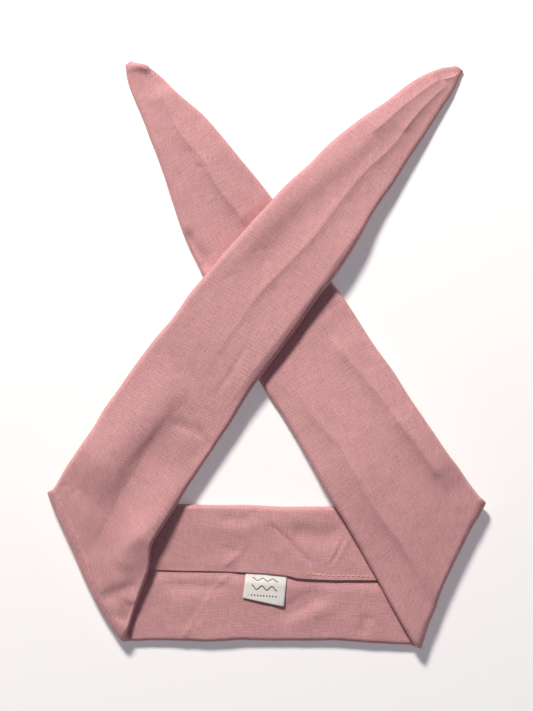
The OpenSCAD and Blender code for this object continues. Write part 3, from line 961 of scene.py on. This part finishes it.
top_points = grid[middle][:, np.isin(stretch, ("lower", "upper"))].reshape(-1, 3)


def cloth_height(x, y):
    """Height of the middle's face that carries the seam: a mean of the six nearest points."""
    near = np.hypot(top_points[:, 0] - x, top_points[:, 1] - y)
    best = np.argsort(near)[:6]
    weight = 1 / (near[best] + 0.1) ** 2
    return float((top_points[best, 2] * weight).sum() / weight.sum())


# The closing stitches: thickness, number, pitch, length, the row's start and its fall
STITCH_T = 0.4
STITCHES = 19
STITCH_PITCH = 2.7
STITCH_LENGTH = STITCH_PITCH * 0.66
FIRST_STITCH = (24.0, -122.1)
ROW_SLOPE = -0.02
# A stitch's height over the cloth, at shares of its length from its middle
STITCH_RISE = np.array([(-0.5, -0.45), (-0.46, -0.15), (-0.38, 0.06), (-0.25, 0.13), (0, 0.15),
                        (0.25, 0.13), (0.38, 0.06), (0.46, -0.15), (0.5, -0.45)])
# The stitches that lock the row's end: x, y, length, angle
LOCK_STITCHES = [(22.9, -121.4, 2.2, 12), (24.9, -120.9, 2.0, 8), (26.6, -121.3, 2.0, -24),
                 (28.2, -121.9, 1.9, -16), (29.9, -121.8, 1.8, 10), (25.6, -121.9, 2.1, 20)]
# An upward direction that no part of a stitch follows
NEARLY_UP = np.array([0.02, 0.05, 1.0])


def one_stitch(x, y, length, angle):
    """A stitch on the cloth whose two ends dive into it."""
    t, rise = STITCH_RISE.T
    a = math.radians(angle)
    path = np.stack([x + t * length * math.cos(a), y + t * length * math.sin(a),
                     cloth_height(x, y) + rise], 1)
    return rod_parts(path, STITCH_T / 2, 8, up=NEARLY_UP)


def stitch_rows():
    """The row of stitches that closes the band, and the short overlapping ones that lock its end."""
    row = []
    for i in range(STITCHES):
        x = FIRST_STITCH[0] + i * STITCH_PITCH
        y = FIRST_STITCH[1] + i * STITCH_PITCH * ROW_SLOPE
        row.append(one_stitch(x + rng.uniform(-0.1, 0.1), y + rng.uniform(-0.08, 0.08),
                              STITCH_LENGTH, math.degrees(ROW_SLOPE) + rng.uniform(-3, 3)))
    closing = mesh_object("closing_thread", *joined(row), thread)
    lock = [one_stitch(*stitch) for stitch in LOCK_STITCHES]
    locking = mesh_object("locking_thread", *joined(lock), thread)
    put_in_place(closing, "middle", "closing_stitches")
    put_in_place(locking, "middle", "backtack_stitches")


stitch_rows()


# -------------------- the label

# The label's visible corners in plan, and how far it goes on under the seam's fold
LABEL_TOP = np.array([(-11.1, -120.4), (11.7, -122.1)])
LABEL_LOW = np.array([(-12.8, -134.3), (10.0, -139.3)])
LABEL_UNDER = 3.0
LABEL_T = 0.2
LABEL_COLS = 24
LABEL_ROWS = 22
# How far its free end curls up: at its left side, how much more at its right side, and the share
# of its length where that starts
CURL = (0.2, 0.5, 0.45)
# The slow wave across it: its height, its turn from side to side and where it starts
SWAY = (0.25, 3.0, 0.4)
# Height of the label's two layers over the cloth, by the distance below the seam
LABEL_BACK = [(-3, 0.13), (0, 0.13), (4, 0.30), (18, 0.30)]
LABEL_FRONT = [(-3, 0.36), (0, 0.40), (5, 0.82), (18, 0.78)]
# The ornament: two wavy lines (distance below the seam, height of a wave, radius), then a row of
# small squares between two dots (share of the label's width, half the length, radius)
WAVY_LINES = [(3.4, 0.7, 0.22), (7.9, 1.1, 0.26)]
WAVY_SPAN = np.linspace(0.17, 0.80, 60)
WAVY_TURN = 26
SPOTS_AT = 12.2
SPOTS = [(s, 0.012, 0.42) for s in np.linspace(0.2, 0.78, 9)]
SPOTS += [(s, 0.004, 0.25) for s in (0.12, 0.86)]


def label_place(s, v):
    """A place in plan, s across the label from 0 to 1 and v mm below the seam, and its length there."""
    side = LABEL_LOW - LABEL_TOP
    length = np.linalg.norm(side, axis=1)
    way = side / length[:, None]
    reach = length[0] + (length[1] - length[0]) * s
    top = LABEL_TOP[0] + (LABEL_TOP[1] - LABEL_TOP[0]) * s
    ahead = way[0] + (way[1] - way[0]) * s
    return top + ahead * v, reach


def label_layer(s, v, offsets):
    """A point in the middle of one layer of the label."""
    place, reach = label_place(s, v)
    curl = (CURL[0] + CURL[1] * s) * float(smooth_step(v / reach, CURL[2], 1.0))
    curl += SWAY[0] * math.sin(SWAY[1] * s + SWAY[2])
    curl *= float(smooth_step(v, 1, 8))
    base = LABEL_BASE[min(int(s * LABEL_COLS), LABEL_COLS - 1)]
    return np.array([*place, float(curve(base, v)) + float(curve(offsets, v)) + curl])


# The cloth under the label, as (distance below the seam, height) points for each of its columns.
# The first height is read SEAM_EDGE below the seam, clear of the fold's edge.
SEAM_EDGE = 0.6
LABEL_BASE = []
for k in range(LABEL_COLS):
    s = (k + 0.5) / LABEL_COLS
    tops = [(v, cloth_height(*label_place(s, max(v, SEAM_EDGE))[0])) for v in range(0, 19, 3)]
    LABEL_BASE.append([(-3, 3.7), (0, min(3.85, tops[0][1])), *tops[1:]])


def label_loop(s):
    """A line down the label's back layer, round its fold and up its front layer."""
    _, reach = label_place(s, 0)
    down = np.linspace(-LABEL_UNDER, reach, LABEL_ROWS)
    back = [label_layer(s, v, LABEL_BACK) for v in down]
    front = [label_layer(s, v, LABEL_FRONT) for v in down[::-1]]
    low = (back[-1] + front[0]) / 2
    bulge = (front[0] - back[-1])[2] / 2
    side = LABEL_LOW - LABEL_TOP
    way = np.array([*(side[0] / np.linalg.norm(side[0])), 0])
    turn = np.linspace(-math.pi / 2, math.pi / 2, 7)[1:-1]
    bend = [low + way * bulge * math.cos(a) + UP * bulge * math.sin(a) for a in turn]
    return np.array(back + bend + front)


def label_pieces():
    """The folded ribbon, and a plain woven ornament on its face in place of the maker's lettering."""
    middle_sheet = np.array([label_loop(s) for s in np.linspace(0, 1, LABEL_COLS + 1)])
    normal = grid_normals(middle_sheet)
    outer = middle_sheet + normal * LABEL_T / 2
    label = sheet_object("label_cloth", outer, outer - normal * LABEL_T, ribbon)
    marks = []

    def line(points, radius):
        path = [label_layer(s, v, LABEL_FRONT) + UP * (LABEL_T / 2 + 0.02) for s, v in points]
        marks.append(rod_parts(np.array(path), radius, 6))

    for v, rise, radius in WAVY_LINES:
        line([(s, v + rise * math.sin(s * WAVY_TURN)) for s in WAVY_SPAN], radius)
    for s, half, radius in SPOTS:
        line([(s - half, SPOTS_AT), (s + half, SPOTS_AT)], radius)
    ornament = mesh_object("label_ornament", *joined(marks), mark)
    for piece, node, slot in ((label, "label_ribbon", "label"), (ornament, "label_mark", "mark")):
        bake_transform(piece)
        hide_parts(node)


label_pieces()

# Better materials for the CAD solids that stay: the wires and their coats, the tips' thread, and
# the label's stitches and tail
FINISHES = {"wire_": steel, "coat_": coat, "tip_thread_": thread, "label_stitches": thread,
            "label_tail": ribbon}
for obj in list(bpy.data.objects):
    for prefix, material in FINISHES.items():
        if obj.name.startswith(prefix):
            for place in obj.material_slots:
                place.material = material


# -------------------- camera, floor and lights

# The camera's place over the band's middle, and the length of its lens
CAMERA_PLACE = (0.3, -0.3, 1002.0)
LENS = 91.0
FLOOR_HALF = 3000
FLOOR_GLOW = 0.12
# Lights: place in m, size, power, colour. The key lights it low from beyond its top.
KEY_LIGHT = ((-0.54, 1.56, 1.26), 0.34, 57.8, (1.0, 0.955, 0.90))
FILL_LIGHT = ((0.5, -0.8, 1.3), 1.2, 1.6, (0.88, 0.90, 1.0))
SKY_COLOR = (0.90, 0.82, 1.0)
SKY_STRENGTH = 0.14


def make_camera():
    """A camera above the band that looks straight down, with the photo's upper side up."""
    data = bpy.data.cameras.new("camera")
    data.lens = LENS
    camera = add_object("camera", data)
    camera.location = [place * MM for place in CAMERA_PLACE]
    bpy.context.scene.camera = camera


def area_light(name, place, size, power, color):
    """A square light that faces the middle of the headband."""
    data = bpy.data.lights.new(name, "AREA")
    data.size, data.energy, data.color = size, power, color
    light = add_object(name, data)
    light.location = place
    light.rotation_euler = (-Vector(place)).to_track_quat("-Z", "Y").to_euler()


def make_stage():
    """The plain pale floor, two lights and a dim sky."""
    shader = Shader("pale_floor", FLOOR_COLOR, 0.9)
    grain = shader.stretched_noise(shader.places(), (1, 1, 1), 60.0)
    shader.tint(FLOOR_COLOR, shader.math("MULTIPLY", grain, 0.01))
    shader.surface.inputs["Emission Color"].default_value = (1, 1, 1, 1)
    shader.surface.inputs["Emission Strength"].default_value = FLOOR_GLOW
    corners = [(x * FLOOR_HALF, y * FLOOR_HALF, 0) for x, y in ((-1, -1), (1, -1), (1, 1), (-1, 1))]
    floor = mesh_object("floor", corners, [[0, 1, 2, 3]], shader.material, smooth=False)
    area_light("key", *KEY_LIGHT)
    area_light("fill", *FILL_LIGHT)
    world = bpy.data.worlds.new("world")
    world.use_nodes = True
    sky = world.node_tree.nodes["Background"]
    sky.inputs["Color"].default_value = (*SKY_COLOR, 1)
    sky.inputs["Strength"].default_value = SKY_STRENGTH
    bpy.context.scene.world = world
    bpy.context.scene.view_settings.view_transform = "Standard"


make_camera()
make_stage()
